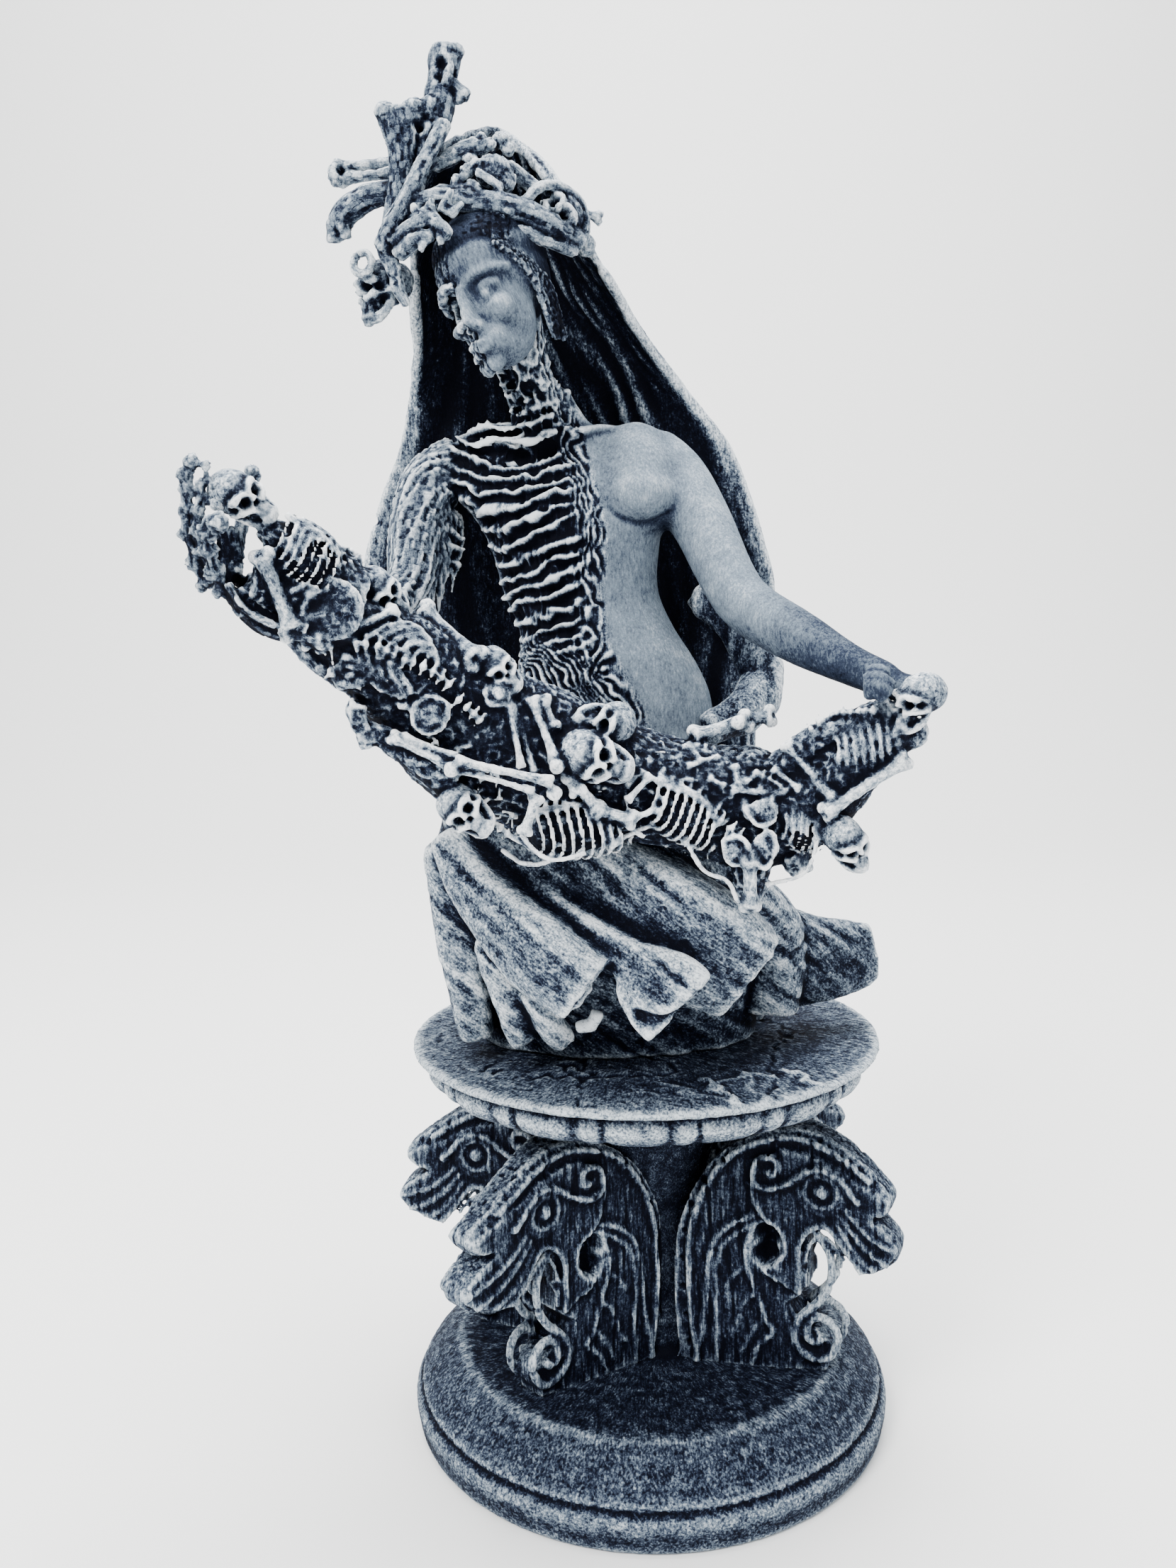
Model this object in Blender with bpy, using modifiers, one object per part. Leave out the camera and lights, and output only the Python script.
"""Cast resin statue of a veiled goddess of the dead, on its turned plinth.

Two castings: the plinth, a moulded round base with a capital of four beast
heads and a scalloped disc on top, and the figure that stands on the disc.
Metres, +Z up. The origin is the centre of the plinth's underside, and the
figure faces -Y. The figure is a free form: its pose and carving are places
in units of its own height.
"""
import math

import bmesh
import bpy
import numpy as np
from mathutils import Matrix
from mathutils import Vector

# Plinth: the moulded base.
BASE_HEIGHT = 0.0207
BASE_RADIUS = 0.0664
BASE_FOOT_RADIUS = 0.0655
BASE_TOP_RADIUS = 0.0538
BEAD_HEIGHT = 0.0098
GROOVE_HEIGHT = 0.0012
GROOVE_DEPTH = 0.0022
# Plinth: the core, the collar of petals and the disc.
CORE_FOOT_RADIUS = 0.0150
CORE_TOP_RADIUS = 0.027
COLLAR_RADIUS = 0.0605
COLLAR_FOOT_RADIUS = 0.050
COLLAR_HEIGHT = 0.0100
PETAL_PAIRS = 16
PETAL_DEPTH = 0.0024
WIDE_PETAL_SHARE = 0.70
DISC_RADIUS = 0.0640
DISC_THICKNESS = 0.0021
DISC_TOP = 0.1076
RIM_EASE = 0.0005
# Plinth: the four beast heads of the capital.
HEAD_REACH = 0.0695
HEAD_HALF_ANGLE = math.radians(14.0)
HEAD_SIDE_DISTANCE = 0.0157
SNOUT_THICKNESS = 0.0085
CAPITAL_TURN = math.radians(10.0)
FRONT_HEAD_SPREAD = math.radians(55.0)
BACK_HEAD_SPREAD = math.radians(108.0)
HEAD_MODEL_HEIGHT = 86.5
HEAD_MODEL_REACH = 69.0
HEAD_TOP_GAP = 0.0085
TURNED_STEPS = 48
# Figure.
FIGURE_HEIGHT = 0.2480
SEAT_GAP = 0.0003
FIGURE_VOXEL = 0.0012
FIGURE_FACES = 5200
HEAD_VOXEL = 0.0010
HEAD_FACES = 300

U = FIGURE_HEIGHT / 248.0


def clear_scene():
    """Remove every object of the scene."""
    for item in list(bpy.data.objects):
        bpy.data.objects.remove(item, do_unlink=True)


def new_collection(name):
    """A collection of the scene, made once."""
    group = bpy.data.collections.new(name)
    bpy.context.scene.collection.children.link(group)
    return group


def add_object(name, mesh, group):
    """An object of a mesh in a collection."""
    item = bpy.data.objects.new(name, mesh)
    group.objects.link(item)
    return item


def finish(name, colour, roughness):
    """A matt painted resin."""
    material = bpy.data.materials.new(name)
    material.use_nodes = True
    shader = material.node_tree.nodes["Principled BSDF"]
    shader.inputs["Base Color"].default_value = (*colour, 1.0)
    shader.inputs["Roughness"].default_value = roughness
    shader.inputs["Metallic"].default_value = 0.0
    return material


def smooth_path(points, steps=4):
    """Points of a smooth curve through some points, with their values."""
    rows = np.array(points, dtype=float)
    ends = np.vstack([2 * rows[0] - rows[1], rows, 2 * rows[-1] - rows[-2]])
    out = []
    for i in range(len(rows) - 1):
        a, b, c, d = ends[i:i + 4]
        for k in range(steps):
            t = k / steps
            out.append(0.5 * (2 * b + (c - a) * t
                              + (2 * a - 5 * b + 4 * c - d) * t * t
                              + (3 * b - a - 3 * c + d) * t ** 3))
    out.append(rows[-1])
    return np.array(out)


def steps_between(rows, steps):
    """Rows of numbers with smooth rows put in between them."""
    return [tuple(row) for row in smooth_path(rows, steps)]


class Forms:
    """Closed bodies that are gathered, united and thinned to one casting."""

    def __init__(self, unit):
        """Start with no bodies; lengths given to it are in units."""
        self.unit = unit
        self.mesh = bmesh.new()
        self.curve = bpy.data.curves.new("rods", "CURVE")
        self.curve.dimensions = "3D"
        self.curve.bevel_depth = 1.0
        self.curve.bevel_resolution = 1
        self.curve.use_fill_caps = True

    def ball(self, centre, radii, turn=None):
        """An ellipsoid with the given half axes, turned by a matrix."""
        size = Matrix.Diagonal((*[r * self.unit for r in radii], 1.0))
        place = Matrix.Translation(Vector(centre) * self.unit)
        turned = turn.to_4x4() if turn else Matrix.Identity(4)
        bmesh.ops.create_uvsphere(self.mesh, u_segments=14, v_segments=9, radius=1.0,
                                  matrix=place @ turned @ size)

    def rod(self, points, steps=4):
        """A round rod along smooth points (x, y, z, radius)."""
        rows = smooth_path(points, steps) if len(points) > 2 else np.array(points, float)
        spline = self.curve.splines.new("POLY")
        spline.points.add(len(rows) - 1)
        for point, row in zip(spline.points, rows):
            point.co = (row[0] * self.unit, row[1] * self.unit, row[2] * self.unit, 1.0)
            point.radius = max(row[3], 0.4) * self.unit

    def loft(self, rings):
        """A closed skin over rings of points, capped at both ends."""
        rows = []
        for ring in rings:
            rows.append([self.mesh.verts.new(Vector(p) * self.unit) for p in ring])
        count = len(rows[0])
        faces = []
        for low, high in zip(rows, rows[1:]):
            for i in range(count):
                j = (i + 1) % count
                faces.append(self.mesh.faces.new((low[i], low[j], high[j], high[i])))
        faces.append(self.mesh.faces.new(list(reversed(rows[0]))))
        faces.append(self.mesh.faces.new(rows[-1]))
        bmesh.ops.recalc_face_normals(self.mesh, faces=faces)

    def band(self, points, steps=4, sides=14):
        """A flattened rod: points (x, y, z, half width, half depth, lean).

        Its width lies across the run and upright, its depth lies front to
        back, and lean tilts the width's top away from the viewer.
        """
        rows = smooth_path(points, steps)
        rings = []
        for i, row in enumerate(rows):
            ahead = rows[min(i + 1, len(rows) - 1)][:3]
            behind = rows[max(i - 1, 0)][:3]
            along = Vector(ahead - behind).normalized()
            depth = Vector((0.0, -math.cos(row[5]), -math.sin(row[5])))
            depth = (depth - along * depth.dot(along)).normalized()
            width = along.cross(depth)
            ring = []
            for k in range(sides):
                a = 2 * math.pi * k / sides
                ring.append(Vector(row[:3]) + width * math.cos(a) * row[3]
                            + depth * math.sin(a) * row[4])
            rings.append(ring)
        self.loft(rings)

    def united(self, voxel):
        """One mesh of all the bodies, as an evaluated voxel union."""
        holder = bpy.data.objects.new("rods", self.curve)
        bpy.context.scene.collection.objects.link(holder)
        bpy.context.view_layer.update()
        rods = bpy.data.meshes.new_from_object(
            holder.evaluated_get(bpy.context.evaluated_depsgraph_get()))
        self.mesh.from_mesh(rods)
        bpy.data.objects.remove(holder)
        bmesh.ops.remove_doubles(self.mesh, verts=self.mesh.verts, dist=voxel * 0.001)
        gathered = bpy.data.meshes.new("gathered")
        self.mesh.to_mesh(gathered)
        self.mesh.free()
        return remeshed(gathered, voxel)


def evaluated(item):
    """The mesh of an object with its modifiers, in its own frame."""
    bpy.context.view_layer.update()
    graph = bpy.context.evaluated_depsgraph_get()
    return bpy.data.meshes.new_from_object(item.evaluated_get(graph))


def with_modifier(mesh, kind, **values):
    """A mesh after one modifier."""
    item = bpy.data.objects.new("worked", mesh)
    bpy.context.scene.collection.objects.link(item)
    modifier = item.modifiers.new(kind, kind)
    for name, value in values.items():
        setattr(modifier, name, value)
    result = evaluated(item)
    bpy.data.objects.remove(item)
    return result


def remeshed(mesh, voxel):
    """The outer skin of a mesh of overlapping bodies."""
    return with_modifier(mesh, "REMESH", mode="VOXEL", voxel_size=voxel)


def largest_body(mesh):
    """The mesh without the crumbs that do not touch its main body."""
    work = bmesh.new()
    work.from_mesh(mesh)
    left = set(work.verts)
    bodies = []
    while left:
        seed = left.pop()
        body = [seed]
        stack = [seed]
        while stack:
            for edge in stack.pop().link_edges:
                for vert in edge.verts:
                    if vert in left:
                        left.discard(vert)
                        body.append(vert)
                        stack.append(vert)
        bodies.append(body)
    bodies.sort(key=len, reverse=True)
    for body in bodies[1:]:
        bmesh.ops.delete(work, geom=body, context="VERTS")
    work.to_mesh(mesh)
    work.free()
    return mesh


def thinned(mesh, faces):
    """The mesh with about the given number of triangles."""
    mesh.calc_loop_triangles()
    share = min(1.0, faces / len(mesh.loop_triangles))
    return with_modifier(mesh, "DECIMATE", ratio=share, use_collapse_triangulate=True)


def positions(mesh):
    """The vertices of a mesh as an array."""
    flat = np.empty(len(mesh.vertices) * 3, dtype=np.float32)
    mesh.vertices.foreach_get("co", flat)
    return flat.reshape(-1, 3).astype(float)


def set_positions(mesh, points):
    """Move the vertices of a mesh."""
    mesh.vertices.foreach_set("co", points.astype(np.float32).ravel())
    mesh.update()


def turn_of(yaw, pitch, roll):
    """Turn of a head that faces -Y: yaw, then roll and pitch, in degrees."""
    return (Matrix.Rotation(math.radians(yaw), 3, "Z")
            @ Matrix.Rotation(math.radians(roll), 3, "Y")
            @ Matrix.Rotation(math.radians(pitch), 3, "X"))


# Skeletons.
def skull(forms, pits, place, size, turn):
    """A skull about 2 sizes deep, facing turn's -Y, with its pits."""
    at = Vector(place)

    def spot(x, y, z):
        return at + turn @ (Vector((x, y, z)) * size)

    forms.ball(spot(0, 0.25, 0.25), (0.72 * size, 0.90 * size, 0.75 * size), turn)
    forms.ball(spot(0, -0.45, -0.15), (0.52 * size, 0.45 * size, 0.62 * size), turn)
    forms.ball(spot(0, -0.50, -0.75), (0.38 * size, 0.36 * size, 0.36 * size), turn)
    for side in (-1, 1):
        pits.append((spot(0.27 * side, -0.92, -0.02), turn @ Vector((0, -1, 0)),
                     0.26 * size, 0.45 * size))
    pits.append((spot(0, -0.95, -0.38), turn @ Vector((0, -1, 0)), 0.18 * size, 0.3 * size))


def cage(forms, top, end, across, half_width, half_depth, ribs):
    """A ribcage from its top to its end: a breastbone and rib hoops."""
    a, b = Vector(top), Vector(end)
    along = (b - a).normalized()
    side = (Vector(across) - along * along.dot(Vector(across))).normalized()
    front = side.cross(along).normalized()
    if front.y > 0:
        front = -front
    for i in range(ribs):
        t = i / (ribs - 1)
        swell = math.sin(math.pi * (0.25 + 0.55 * t))
        centre = a.lerp(b, t)
        for s in (-1, 1):
            hoop = []
            for k in range(5):
                angle = math.radians(8 + 118 * k / 4)
                p = (centre + side * s * math.sin(angle) * half_width * swell
                     + front * math.cos(angle) * half_depth * swell
                     + along * (0.10 * k))
                hoop.append((*p, 0.75))
            forms.rod(hoop, 2)
    bone = [(*(a + front * half_depth * 0.75), 1.1), (*(a.lerp(b, 0.5) + front * half_depth), 1.0),
            (*(b + front * half_depth * 0.8), 0.8)]
    forms.rod(bone)
    forms.ball(a.lerp(b, 0.5), (half_width * 0.62,) * 3)
    forms.ball(a.lerp(b, 0.2), (half_width * 0.55,) * 3)
    forms.ball(a.lerp(b, 0.8), (half_width * 0.58,) * 3)


def bone(forms, start, end, radius, knob=1.6):
    """A long bone with a knob at each end."""
    a, b = Vector(start), Vector(end)
    rows = []
    for t, share in ((0.0, knob), (0.10, knob * 0.85), (0.25, 1.0), (0.75, 1.0),
                     (0.90, knob * 0.85), (1.0, knob)):
        rows.append((*a.lerp(b, t), radius * share))
    forms.rod(rows, 2)


# Figure.
def oval(cx, cy, z, half_width, front, back, count=28, power=2.0):
    """A ring with its own reach to the front and to the back."""
    ring = []
    for i in range(count):
        a = 2 * math.pi * i / count
        c, s = math.cos(a), math.sin(a)
        x = half_width * math.copysign(abs(c) ** (2 / power), c)
        reach = back if s > 0 else front
        ring.append((cx + x, cy + reach * math.copysign(abs(s) ** (2 / power), s), z))
    return ring


def torso(forms):
    """The bare trunk, from the hips to the shoulders, and the neck."""
    sections = [
        (60, -10.0, -14, 27.0, 15, 14), (80, -8.5, -13, 27.0, 13, 14), (92, -7.5, -12, 26.0, 13, 13),
        (102, -9.0, -11, 23.3, 13, 12), (110, -11.2, -9, 20.6, 12.5, 12), (120, -15.4, -7, 20.6, 12.5, 12),
        (130, -16.5, -7, 22.0, 13, 12), (138, -17.5, -6, 24.5, 14, 12), (146, -19.0, -5, 29.0, 13, 12),
        (153, -20.5, -3, 31.0, 11, 10), (158, -22.5, -2, 27.0, 9, 8), (163, -23.5, -3, 15.0, 8, 7),
    ]
    rings = []
    for z, cx, cy, width, front, back in steps_between(sections, 3):
        rings.append(oval(cx, cy, z, width, front, back))
    forms.loft(rings)
    forms.ball((1.0, -14.5, 143.5), (8.8, 10.5, 8.8))
    forms.rod([(-22.5, -4, 155, 10), (-24.5, -7, 165, 8.2), (-27.5, -12, 175, 7.6), (-29, -15, 184, 8.5)])
    forms.rod([(-25, -13, 161, 1.8), (-36, -9, 162, 1.8), (-49, -4, 159, 2.6)])
    forms.rod([(-20, -12, 161, 1.8), (-8, -7, 162, 2.0), (5, -1, 159, 2.6)])
    for i in range(9):
        z = 154 - 5.2 * i
        reach = 24.0 - 0.10 * (i - 2) ** 2 * 3.0
        centre = -19 + 0.5 * i
        rib = []
        for k in range(6):
            a = math.radians(4 + 84 * k / 5)
            rib.append((centre - math.sin(a) * (reach - 0.2), -6.0 - math.cos(a) * 13.8,
                        z - 4.0 * math.sin(a) * math.cos(a) + 3.0 * math.sin(a), 1.5))
        forms.rod(rib, 2)


def arms(forms):
    """The living right arm, the withered left arm and its bare hand."""
    forms.rod([(3, 1, 156, 9.2), (11, -4, 149, 9.2), (17, -14, 136, 8.4), (22, -25, 121, 7.8),
               (27, -32, 114, 7.6), (38, -43, 106, 6.8), (48, -53, 99.5, 5.0), (55, -58, 96, 5.0)])
    for i in range(4):
        forms.rod([(54 + i, -61 + 1.5 * i, 97 - 1.5 * i, 1.8), (60 + i, -65 + 2 * i, 99 - 2.4 * i, 1.7),
                   (65 + i, -66 + 2.5 * i, 95 - 2.6 * i, 1.5)])
    forms.rod([(-47, 0, 155, 8.5), (-55, -3, 148, 8.6), (-58, -12, 136, 8.0), (-58.5, -24, 122, 6.6),
               (-64, -40, 115, 6.2), (-72, -56, 113, 5.4), (-80, -68, 115, 5.0), (-87, -73, 118, 5.6)])
    forms.band([(-53, -9, 140, 3, 2, 0), (-53.5, -12, 128, 4, 1.8, 0), (-54.5, -14, 117, 2, 1.4, 0)])
    fingers = (
        ((-90, -73, 121), (-93, -76, 132), (-95, -78, 139), (-92, -80, 145), 2.3),
        ((-90, -77, 121), (-94, -81, 130), (-94, -84, 139), (-89, -87, 141), 2.1),
        ((-87, -79, 119), (-90, -85, 127), (-90, -88, 133), (-86, -89, 136), 2.0),
        ((-84, -66, 121), (-85, -63, 130), (-85, -63, 138), (-84, -66, 144), 2.0),
    )
    for a, b, c, d, radius in fingers:
        forms.rod([(*a, radius * 1.2), (*b, radius * 1.1), (*c, radius), (*d, radius * 1.15)])
    forms.ball((-88, -74, 120), (7, 6, 5))


def head_and_neck(forms, pits):
    """The head, turned to its right and bowed, half living, half bare."""
    turn = turn_of(-38, 15, -17)
    at = Vector((-34.0, -25.0, 190.0))

    def spot(x, y, z):
        return at + turn @ Vector((x, y, z))

    forms.ball(spot(0, 2.5, 4.0), (12.6, 15.8, 14.2), turn)
    forms.ball(spot(0, -5.5, -5.0), (9.6, 9.8, 13.0), turn)
    forms.ball(spot(0, -9.0, -14.0), (5.6, 5.6, 4.6), turn)
    forms.rod([(*spot(0, -15.3, 1.5), 1.6), (*spot(0, -17.6, -4.5), 1.9)])
    forms.ball(spot(0, -14.2, -10.0), (3.6, 1.8, 1.8), turn)
    for side in (-1, 1):
        forms.ball(spot(6.6 * side, -9.0, -4.0), (3.4, 4.0, 2.6), turn)
        pits.append((spot(5.2 * side, -14.0, 0.0), turn @ Vector((0, -1, 0)),
                     3.6, 3.4 if side < 0 else 1.8))


def veil(forms):
    """The hood and the mantle behind the figure, down to the disc."""
    # z, left x, right x, y of the edges, reach of the back, hollow of the front
    sections = [
        (0, -47, 36, 6, 34, -2), (18, -48, 37, 6, 33, -2), (40, -50, 36, 6, 31, -2),
        (62, -53, 33, 6, 29, -2), (80, -60, 33, 7, 28, -1), (94, -68, 34, 8, 27, 0),
        (108, -75, 37, 9, 26, 1), (121, -76.5, 38.5, 10, 26, 2), (134, -74, 35.5, 10, 26, 3),
        (148, -69.5, 31, 10, 25, 4), (160, -64.5, 26, 9, 24, 5), (174, -60.5, 14.5, 6, 25, 8),
        (188, -58, 2.5, -4, 30, 16), (200, -57, -7, -13, 34, 24), (210, -56, -12.5, -19, 38, 26),
        (218, -54, -17, -20, 36, 20), (225, -50, -21.5, -17, 30, 10), (231, -45, -26, -11, 21, 3),
        (235.5, -39, -31, -3, 9, 0),
    ]
    rings = []
    count = 22
    for z, left, right, edge, back, hollow in steps_between(sections, 2):
        middle, half = (left + right) / 2, (right - left) / 2
        ring = []
        for i in range(count):
            a = math.pi * (i + 0.5) / count
            fold = 1.0 + 0.035 * math.cos(13 * a) * min(1.0, z / 30)
            ring.append((middle - half * math.cos(a), edge + 1.5 + back * fold * math.sin(a) ** 0.8, z))
        for i in range(count):
            t = 1 - 2 * (i + 0.5) / count
            ring.append((middle + half * t * 0.97, edge - 1.5 + hollow * (1 - t ** 4), z))
        rings.append(ring)
    forms.loft(rings)
    forms.rod([(-55, -21, 214, 1.5), (-49, -22, 224, 1.5), (-41, -19, 229.5, 1.5), (-34, -11, 234, 1.5),
               (-27, -16, 227, 1.5), (-19, -20, 217, 1.5), (-12, -18, 206, 1.5)])
    forms.band([(16, 2, 120, 4, 3, 0), (27, -2, 108, 5, 4, 0), (33, -4, 97, 6, 5, 0),
                (28, -12, 89, 6, 5, 0), (16, -20, 84, 4, 4, 0)])


def crown(forms):
    """The crown of knotted bones round the hood."""
    bone(forms, (-44.9, -26, 242.5), (-55.0, -28, 208), 2.6, 1.45)
    forms.ball((-43.8, -26, 243.8), (3.6, 3.2, 3.4))
    forms.ball((-42.0, -26, 235.0), (2.6, 2.4, 2.4))
    forms.band([(-56.0, -30, 231.0, 5.6, 3.0, 0), (-55.5, -30, 227.5, 4.0, 2.6, 0),
                (-55.8, -30, 220, 2.6, 2.2, 0), (-54.5, -30, 207, 2.2, 2.0, 0)])
    forms.rod([(-56.5, -30, 230.5, 2.6), (-50.5, -28, 231, 2.6)])
    forms.rod([(-45, -28, 233, 1.6), (-46, -30, 226, 1.6), (-51.6, -32, 213, 1.7), (-59, -31, 202, 1.9),
               (-61, -29, 198, 2.4)])
    bone(forms, (-72.0, -20, 221.5), (-54, -20, 222.6), 2.0, 1.5)
    forms.rod([(-54, -27, 214.5, 2.6), (-60, -28, 214.8, 2.6), (-67, -26, 213, 2.6),
               (-71.5, -25, 209, 3.0), (-72.0, -24, 206, 3.4)])
    forms.ball((-66.2, -24, 193.0), (6.0, 6.5, 5.4))
    forms.ball((-62.5, -24, 189.5), (6.4, 6.0, 6.2))
    forms.ball((-60.5, -24, 196.5), (5.0, 5.0, 4.5))
    forms.rod([(-54.5, -35, 201.5, 2.6), (-49.5, -38, 203, 2.6), (-43.5, -40, 200.5, 2.6)])
    forms.rod([(-60, -30, 198, 3.0), (-55, -32, 205, 3.2), (-49, -34, 209, 2.4), (-43, -34, 210, 2.2)])
    forms.rod([(-46, -26, 216, 2.4), (-41, -27, 219.5, 2.6), (-33.5, -27, 220.5, 3.2), (-27, -23, 218, 2.6),
               (-20, -20, 214.5, 2.6)])
    forms.rod([(-41, -33, 211.5, 2.2), (-33, -31, 211.5, 2.8), (-26, -26, 213.5, 3.0),
               (-18.5, -21, 213.5, 3.4), (-12.6, -15, 210.5, 3.2)])
    forms.rod([(-15, -15, 213, 1.3), (-9.3, -13, 211.6, 1.3)])
    forms.ball((-11.3, -14, 205.6), (2.6, 2.6, 3.4))


def robe(forms):
    """The robe: its folds sweep from the left hip to the right of the disc."""
    sections = [
        (0, -7.0, -2, 39, 30, 14), (8, -7.0, -3, 39, 31, 14), (20, -8.0, -5, 40, 35, 14),
        (34, -9.5, -8, 41, 35, 14), (46, -12.0, -9, 41.5, 33, 14), (58, -12.5, -10, 41.5, 29, 14),
        (70, -12.0, -11, 40, 25, 14), (84, -10.0, -12, 34, 20, 12), (94, -8.0, -12, 27, 14, 10),
    ]
    rings = []
    for z, cx, cy, width, front, back in steps_between(sections, 2):
        ring = []
        for x, y, level in oval(cx, cy, z, width, front, back, 40, 2.1):
            a = math.atan2(y - cy, x - cx)
            wave = 1.0 + 0.05 * math.sin(9 * a + z * 0.05) * (1.0 if y < cy else 0.4)
            ring.append((cx + (x - cx) * wave, cy + (y - cy) * wave, level))
        rings.append(ring)
    forms.loft(rings)
    pleats = (
        ((-46, -33, 66, 9, 8, 0.3), (-38, -40, 54, 10, 9, 0.3), (-27, -47, 41, 10, 9, 0.2),
         (-15, -51, 27.5, 8.5, 8, 0.1)),
        ((-30, -37, 68, 6, 7, 0.3), (-19, -42, 54, 6.5, 8, 0.3), (-7, -46, 38, 7, 8, 0.2),
         (6, -51, 21.5, 6.0, 6, 0.1)),
        ((-16, -33, 68, 7, 8, 0.3), (0, -38, 54, 8.5, 9, 0.3), (15, -40, 38, 10, 9, 0.2),
         (29, -33, 17.5, 12, 8, 0.1)),
        ((-46, -18, 62, 7, 7, 0), (-45, -20, 44, 7, 8, 0), (-42, -24, 24, 6, 8, 0),
         (-40, -26, 3.5, 5, 7, 0)),
        ((-36, -34, 40, 5, 6, 0), (-31, -40, 26, 5, 6, 0), (-25, -43, 10, 5, 6, 0)),
    )
    for pleat in pleats:
        forms.band(pleat)
    forms.rod([(18, -25, 46, 8.0), (30, -18, 36, 8.0), (34, -12, 26, 9.0), (33, -12, 8.0, 8.0)])
    forms.band([(34, -9, 21.5, 15, 7, 0), (46, -5, 19.5, 12.5, 6, 0), (57, -2, 19.5, 10.5, 4.0, 0),
                (64, 0, 20.5, 8.0, 2.5, 0)])
    forms.band([(6, -34, 3.0, 2.6, 9, 0), (-12, -36, 3.0, 2.6, 9, 0), (-30, -32, 3.0, 2.6, 8, 0)])
    for a, b in (((20, -36, 3), (34, -46, 1.6)), ((26, -33, 3), (46, -36, 1.6)),
                 ((10, -40, 3), (16, -52, 1.6))):
        forms.rod([(*a, 2.8), (*b, 1.4)])


def garland(forms, pits):
    """The shroud of skeletons that hangs between the two hands."""
    forms.band([
        (-84, -74, 120, 4.5, 4, 0), (-75, -70, 117, 6.5, 5, 0), (-65, -64, 109, 9.5, 7, 0.1),
        (-53, -58, 99, 14, 8.5, 0.2), (-40, -52, 86, 18, 10, 0.3), (-25, -48, 79, 18, 12, 0.3),
        (-7, -45, 74, 14, 13, 0.3), (10, -44, 70, 13, 12, 0.3), (24, -45, 67, 15, 10, 0.2),
        (36, -50, 69, 11, 7, 0.1), (47, -56, 79, 7, 5, 0), (56, -59, 90, 6, 4.5, 0),
    ])
    forms.rod([(24, -47, 58, 6), (23.5, -48, 50, 4.5), (23, -49, 45.5, 3)])
    forms.rod([(-58, -66, 90, 4.5), (-62.5, -69, 92, 4.0), (-64.5, -70, 88, 3.6), (-61, -71, 83, 3.2)])
    skulls = (
        ((-84.5, -76, 136.5), 6.3, (62, 40, 25)), ((-58.0, -58, 120.0), 6.0, (75, 10, 10)),
        ((-32.5, -54, 100.5), 5.8, (42, 12, 25)), ((-10.3, -50, 88.0), 6.4, (-60, -5, -70)),
        ((-11.5, -58, 79.5), 7.4, (55, 8, 35)), ((-41.0, -60, 70.5), 6.6, (25, 12, 80)),
        ((60.5, -60, 92.5), 6.6, (-60, 10, -80)), ((46.0, -55, 60.2), 6.2, (10, 30, -40)),
    )
    for place, size, angles in skulls:
        skull(forms, pits, place, size, turn_of(*angles))
    cages = (
        ((-80, -73, 130), (-69, -69, 123), (0.5, 0, 1), 7.5, 6.0, 7),
        ((-63, -64, 109), (-50, -62, 99), (0.5, 0, 1), 8.5, 6.5, 8),
        ((-1.5, -58, 77), (11.5, -56, 67), (0.6, 0, 1), 9.0, 6.5, 7),
        ((-29, -59, 68), (-12, -57, 63.5), (0.2, 0, 1), 8.5, 6.0, 8),
        ((27.5, -54, 73), (38, -55, 66), (0.3, 0, 1), 7.5, 6.0, 6),
        ((54, -61, 86), (41, -58, 81), (0.3, 0, 1), 7.0, 6.0, 7),
        ((8, -50, 80), (17, -50, 74), (0.4, 0, 1), 6.0, 5.0, 5),
    )
    for row in cages:
        cage(forms, *row)
    bones = (
        ((-81.2, -80, 125.4), (-77.0, -76, 112.5), 1.7), ((-32.9, -61, 95.4), (-28.8, -63, 78.4), 1.6),
        ((-25.8, -61, 94.8), (-21.6, -63, 80.5), 1.5), ((-57.1, -69, 87.7), (-22.1, -67, 74.3), 1.9),
        ((10.7, -44, 84.1), (27.8, -47, 88.8), 2.2), ((31.6, -54, 82.2), (41.6, -58, 69.7), 1.5),
        ((38.5, -60, 67.0), (56.7, -62, 78.3), 1.7), ((-44.5, -50, 110.2), (-36.6, -52, 97), 3.0),
        ((-65.7, -68, 107.6), (-48.8, -66, 96.5), 1.7), ((-72, -72, 108), (-60, -66, 113), 1.5),
        ((23, -56, 55.3), (23.3, -53, 45.0), 1.9), ((-66, -62, 126), (-60, -58, 124), 3.0),
        ((28, -47, 87.5), (33, -51, 80.5), 2.6),
    )
    for start, end, radius in bones:
        bone(forms, start, end, radius)
    for place, radii in (((-48.6, -67, 92.0), (4.6, 3.0, 4.6)), ((-64.7, -70, 101.5), (4.5, 2.2, 4.0)),
                         ((22, -55, 63), (6.5, 4, 6)), ((-34.5, -59, 91), (3, 3, 3)),
                         ((66, -58, 88), (4, 5, 4)), ((-47, -60, 116), (3.5, 4, 3.5))):
        forms.ball(place, radii)


def sink_pits(points, pits, unit):
    """Press round hollows into the vertices near each pit."""
    for centre, outward, radius, depth in pits:
        middle = np.array(centre) * unit
        away = np.array(outward)
        reach = radius * unit
        offset = points - middle
        along = offset @ away
        across = np.linalg.norm(offset - np.outer(along, away), axis=1)
        near = (across < reach) & (np.abs(along) < 2.2 * reach)
        fall = 1.0 - (across[near] / reach) ** 2
        points[near] -= np.outer(fall * depth * unit, away)
    return points


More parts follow.
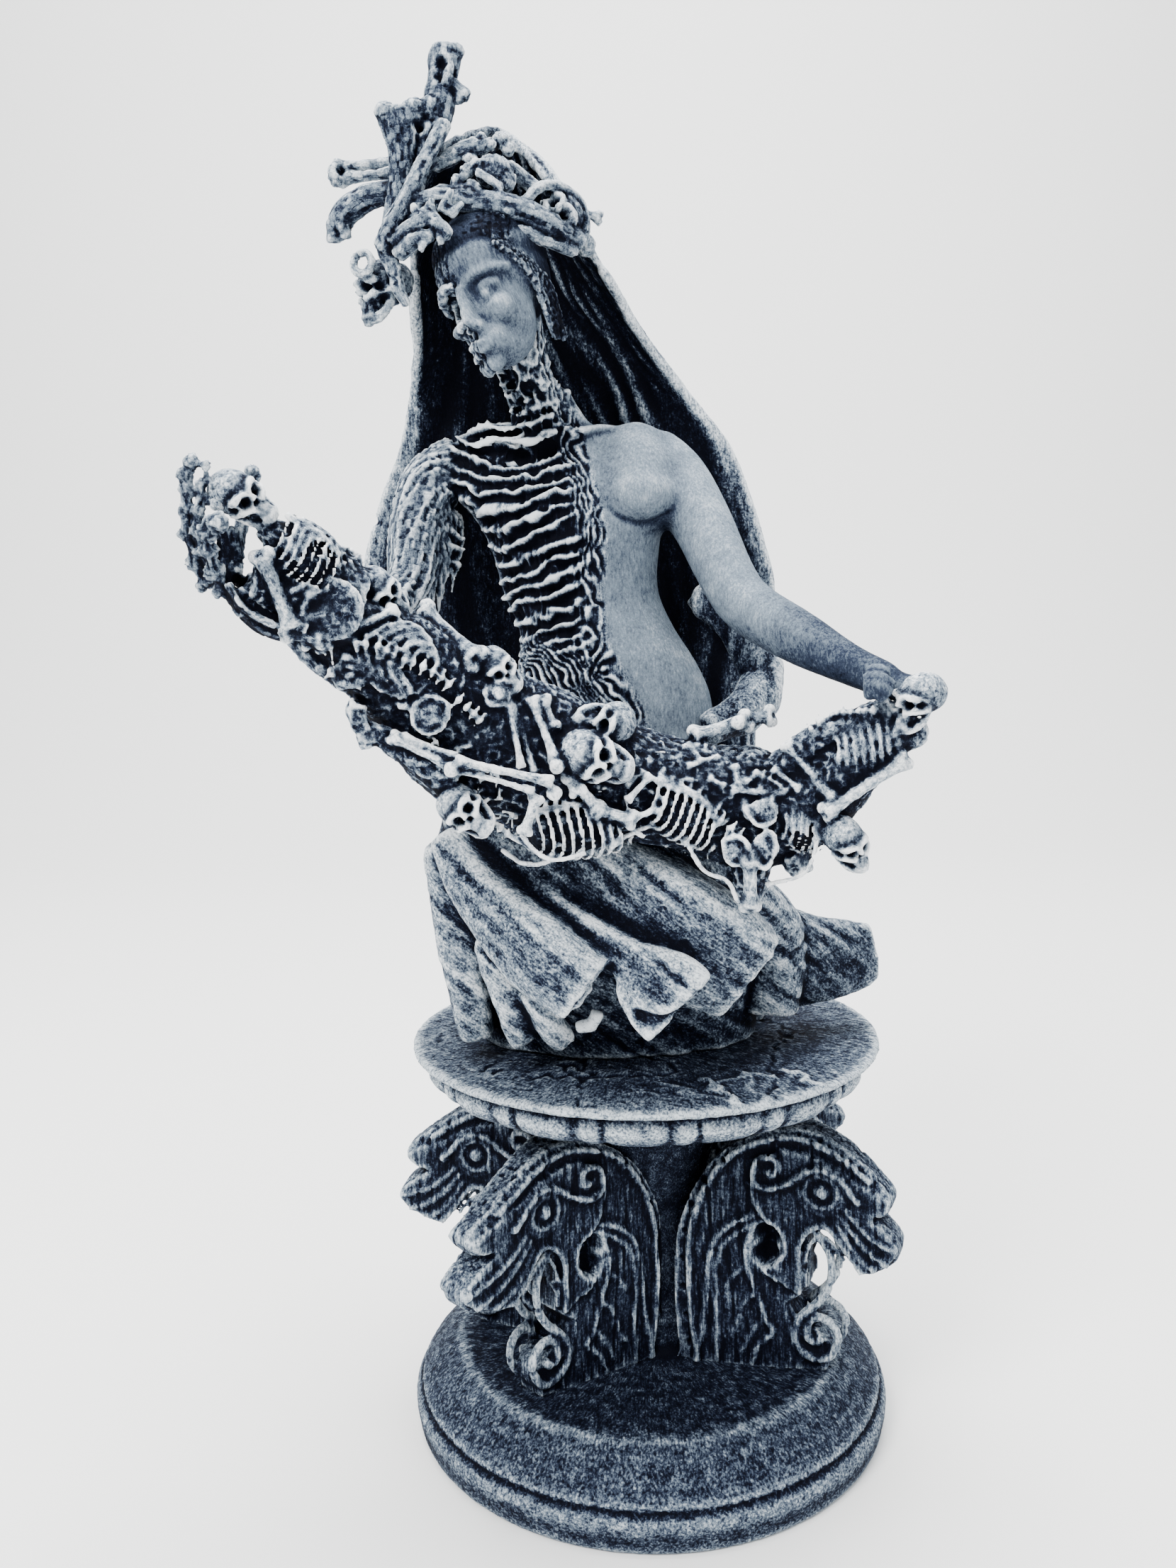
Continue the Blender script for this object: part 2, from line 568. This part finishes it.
def build_figure(group, material):
    """The whole figure as one casting, resting just over the disc."""
    forms = Forms(U)
    pits = []
    torso(forms)
    arms(forms)
    head_and_neck(forms, pits)
    veil(forms)
    crown(forms)
    robe(forms)
    garland(forms, pits)
    skin = forms.united(FIGURE_VOXEL)
    points = sink_pits(positions(skin), pits, U)
    points[:, 2] = np.maximum(points[:, 2], 0.0)
    set_positions(skin, points)
    skin = thinned(largest_body(skin), FIGURE_FACES)
    points = positions(skin)
    points[:, 2] = np.maximum(points[:, 2], 0.0)
    set_positions(skin, points)
    skin.materials.clear()
    skin.materials.append(material)
    figure = add_object("figure", skin, group)
    figure.location = (0.0, 0.0, DISC_TOP + SEAT_GAP)
    return figure


# Plinth.
def arc(cx, cz, rx, rz, start, end, count):
    """Points of an elliptic arc in the turned profile, angles in degrees."""
    out = []
    for i in range(count):
        a = math.radians(start + (end - start) * i / (count - 1))
        out.append((cx + rx * math.cos(a), cz + rz * math.sin(a)))
    return out


def turned_profile():
    """The plinth's profile, from the axis at the top to the axis below."""
    under = DISC_TOP - DISC_THICKNESS
    neck = under - COLLAR_HEIGHT
    profile = [(0.0, DISC_TOP), (DISC_RADIUS - RIM_EASE, DISC_TOP), (DISC_RADIUS, DISC_TOP - RIM_EASE),
               (DISC_RADIUS, under + RIM_EASE), (DISC_RADIUS - RIM_EASE, under)]
    profile += [(COLLAR_FOOT_RADIUS, under), (COLLAR_FOOT_RADIUS - 0.002, neck + 0.001)]
    profile += [(CORE_TOP_RADIUS, neck - 0.001)]
    profile += [((CORE_TOP_RADIUS + CORE_FOOT_RADIUS) / 2, BASE_HEIGHT + 0.86 * (neck - BASE_HEIGHT))]
    profile += [(CORE_FOOT_RADIUS, BASE_HEIGHT + 0.5 * (neck - BASE_HEIGHT))]
    profile += [(CORE_FOOT_RADIUS + 0.002, BASE_HEIGHT)]
    cove_foot = BEAD_HEIGHT + GROOVE_HEIGHT
    profile += [(BASE_TOP_RADIUS, BASE_HEIGHT)]
    rise = BASE_HEIGHT - cove_foot
    for t in (0.3, 0.65, 0.9, 1.0):
        radius = BASE_TOP_RADIUS + (BASE_RADIUS - 0.0016 - BASE_TOP_RADIUS) * t ** 0.9
        profile.append((radius, BASE_HEIGHT - rise * (t - 0.07 * math.sin(math.pi * t))))
    profile += [(BASE_RADIUS - GROOVE_DEPTH - 0.0008, cove_foot - 0.0004)]
    profile += [(BASE_RADIUS - GROOVE_DEPTH, BEAD_HEIGHT)]
    profile += arc(BASE_RADIUS - GROOVE_DEPTH, BEAD_HEIGHT * 0.62, GROOVE_DEPTH,
                   BEAD_HEIGHT * 0.36, 70, 0, 4)
    profile += [(BASE_FOOT_RADIUS, 0.0006), (BASE_FOOT_RADIUS - 0.0006, 0.0), (0.0, 0.0)]
    return profile


def turned_body(group):
    """The base, core and disc as one turned body."""
    mesh = bpy.data.meshes.new("plinth")
    profile = turned_profile()
    mesh.from_pydata([(r, 0.0, z) for r, z in profile], [(i, i + 1) for i in range(len(profile) - 1)], [])
    body = add_object("plinth", mesh, group)
    screw = body.modifiers.new("turn", "SCREW")
    screw.steps = TURNED_STEPS
    screw.render_steps = TURNED_STEPS
    screw.use_merge_vertices = True
    screw.merge_threshold = 0.00001
    screw.use_normal_calculate = False
    return body


def collar(group):
    """The ring of wide and narrow petals under the disc."""
    under = DISC_TOP - DISC_THICKNESS
    rows = ((under + 0.0008, COLLAR_RADIUS - 0.004, 0.0), (under - 0.0012, COLLAR_RADIUS, 0.6),
            (under - 0.45 * COLLAR_HEIGHT, COLLAR_RADIUS + 0.0002, 1.0),
            (under - 0.82 * COLLAR_HEIGHT, COLLAR_RADIUS - 0.0035, 0.9),
            (under - COLLAR_HEIGHT, COLLAR_FOOT_RADIUS + 0.002, 0.1))
    spots = []
    for start, share, count in ((0.0, WIDE_PETAL_SHARE, 4), (WIDE_PETAL_SHARE, 1 - WIDE_PETAL_SHARE, 2)):
        for i in range(count):
            t = i / count
            spots.append((start + share * t, math.sin(math.pi * t) ** 0.6 * (1.0 if count == 4 else 0.75)))
    mesh = bmesh.new()
    rings = []
    for z, radius, lobe in rows:
        ring = []
        for pair in range(PETAL_PAIRS):
            for share, swell in spots:
                a = 2 * math.pi * (pair + share) / PETAL_PAIRS + CAPITAL_TURN
                r = radius - PETAL_DEPTH * lobe * (1.0 - swell)
                ring.append(mesh.verts.new((r * math.cos(a), r * math.sin(a), z)))
        rings.append(ring)
    count = len(rings[0])
    for high, low in zip(rings, rings[1:]):
        for i in range(count):
            j = (i + 1) % count
            mesh.faces.new((high[i], low[i], low[j], high[j]))
    mesh.faces.new(rings[0])
    mesh.faces.new(list(reversed(rings[-1])))
    data = bpy.data.meshes.new("collar")
    mesh.to_mesh(data)
    mesh.free()
    return add_object("collar", data, group)


def spiral(cx, cz, start_radius, turns, start_angle, clockwise, count=14):
    """Points of a flat spiral that winds inwards."""
    out = []
    for i in range(count):
        t = i / (count - 1)
        a = math.radians(start_angle) + (-1 if clockwise else 1) * 2 * math.pi * turns * t
        r = start_radius * (1 - 0.85 * t)
        out.append((cx + r * math.cos(a), cz + r * math.sin(a)))
    return out


def head_outline():
    """The side view of a beast head: reach from the axis and height."""
    back = [(8, 20.0), (13.5, 20.0), (12.5, 34), (12.5, 48), (14.5, 58)]
    mane = [(19, 68), (27, 77.5), (36, 83.5), (45, 86.5), (54, 84)]
    snout = [(61, 78), (66, 71), (67, 66), (65.5, 62.5), (69, 56), (68.5, 50.5), (64, 46.5)]
    mouth = [(58, 47.5), (54, 52), (50, 57.5), (45.5, 58.5), (42, 54.5), (41, 46)]
    beard = [(41, 38.5), (46.5, 33), (51, 31.5), (54, 28), (53, 23), (48, 20.0)]
    return back + mane + snout + mouth + beard


def beast_head_mesh(sx, sz):
    """One beast head about the XZ plane, snout towards +X, as a thin mesh."""
    curve = bpy.data.curves.new("outline", "CURVE")
    curve.dimensions = "2D"
    curve.fill_mode = "BOTH"
    curve.extrude = 1.0
    spline = curve.splines.new("POLY")
    outline = head_outline()
    spline.points.add(len(outline) - 1)
    for point, (x, z) in zip(spline.points, outline):
        point.co = (x, z, 0.0, 1.0)
    spline.use_cyclic_u = True
    holder = bpy.data.objects.new("outline", curve)
    bpy.context.scene.collection.objects.link(holder)
    plate = evaluated(holder)
    bpy.data.objects.remove(holder)
    forms = Forms(1.0)
    flat = bmesh.new()
    flat.from_mesh(plate)
    bmesh.ops.remove_doubles(flat, verts=flat.verts, dist=0.001)

    def half(x):
        wedge = HEAD_SIDE_DISTANCE / math.cos(HEAD_HALF_ANGLE) / sx - x * math.tan(HEAD_HALF_ANGLE)
        return max(wedge, SNOUT_THICKNESS / 2 / sx - 0.04 * max(0.0, x - 45))

    for vert in flat.verts:
        x, z, side = vert.co
        vert.co = (x, math.copysign(half(x), side), z)
    bmesh.ops.recalc_face_normals(flat, faces=flat.faces)
    plate_mesh = bpy.data.meshes.new("plate")
    flat.to_mesh(plate_mesh)
    flat.free()
    forms.mesh.from_mesh(plate_mesh)
    for side in (-1, 1):
        def line(points, radius, lift=0.3, side=side):
            forms.rod([(x, side * (half(x) + lift), z, radius) for x, z in points], 3)
        line([(14, 22), (14, 40), (15.5, 56), (21, 68), (30, 78), (42, 84.5), (54, 82), (63, 73)], 1.6)
        line([(59, 70), (55, 76.5), (47, 78.5), (40, 75.5), (36, 76)]
             + spiral(34, 79, 3.4, 1.1, -60, False, 8), 1.3)
        line(spiral(47.5, 70, 4.6, 1.0, 0, False, 12)[:9], 0.9)
        forms.ball((47.5, side * (half(47.5) + 0.4), 70), (2.4, 1.6, 2.4))
        line([(62, 48), (57, 51), (52, 58.5), (46, 61), (41, 57), (39.5, 46), (39.5, 39)], 1.2)
        line([(67, 52), (60, 55), (54, 62), (46, 64)], 1.0)
        line([(26, 59), (20, 56), (17.5, 48), (17, 34), (18, 21.5)], 1.5)
        line([(27, 50), (28, 40), (24, 30), (23, 22)], 1.1)
        line([(28, 42), (33, 34), (36, 23)], 1.1)
        line([(50, 56), (50.5, 46), (46.5, 37), (44, 31)] + spiral(48.5, 26.5, 4.4, 1.1, 150, False, 9), 1.5)
    mesh = forms.united(HEAD_VOXEL / sx)
    pits = []
    for side in (-1, 1):
        pits.append(((33.5, side * half(33.5), 53.0), (0, side, 0), 4.6, 2.4))
        pits.append(((31.5, side * half(31.5), 47.0), (0, side, 0), 3.6, 2.0))
    points = sink_pits(positions(mesh), pits, 1.0)
    points[:, 0] *= sx
    points[:, 1] *= sx
    points[:, 2] = BASE_HEIGHT - 0.0006 + (points[:, 2] - 20.0) * sz
    set_positions(mesh, points)
    return thinned(largest_body(mesh), HEAD_FACES)


def build_plinth(group, cutters, material):
    """The plinth: turned body, petal collar and four beast heads in one."""
    body = turned_body(group)
    top = DISC_TOP - DISC_THICKNESS - COLLAR_HEIGHT - HEAD_TOP_GAP
    sx = HEAD_REACH / HEAD_MODEL_REACH
    sz = (top - BASE_HEIGHT) / (HEAD_MODEL_HEIGHT - 20.0)
    head = beast_head_mesh(sx, sz)
    pieces = [collar(cutters)]
    for spread in (FRONT_HEAD_SPREAD, BACK_HEAD_SPREAD):
        for side in (-1, 1):
            azimuth = CAPITAL_TURN + side * spread
            piece = add_object("beast_head_%d" % len(pieces), head, cutters)
            piece.rotation_euler = (0.0, 0.0, azimuth - math.pi / 2)
            pieces.append(piece)
    for piece in pieces:
        piece.hide_render = True
        piece.display_type = "WIRE"
        union = body.modifiers.new("join " + piece.name, "BOOLEAN")
        union.operation = "UNION"
        union.object = piece
    body.data.materials.append(material)
    return body


def main():
    """Build both castings."""
    clear_scene()
    group = new_collection("goddess_statue")
    cutters = new_collection("cutters")
    dark = finish("dark_resin", (0.030, 0.040, 0.060), 0.75)
    brushed = finish("brushed_resin", (0.16, 0.19, 0.24), 0.75)
    build_plinth(group, cutters, dark)
    build_figure(group, brushed)


main()
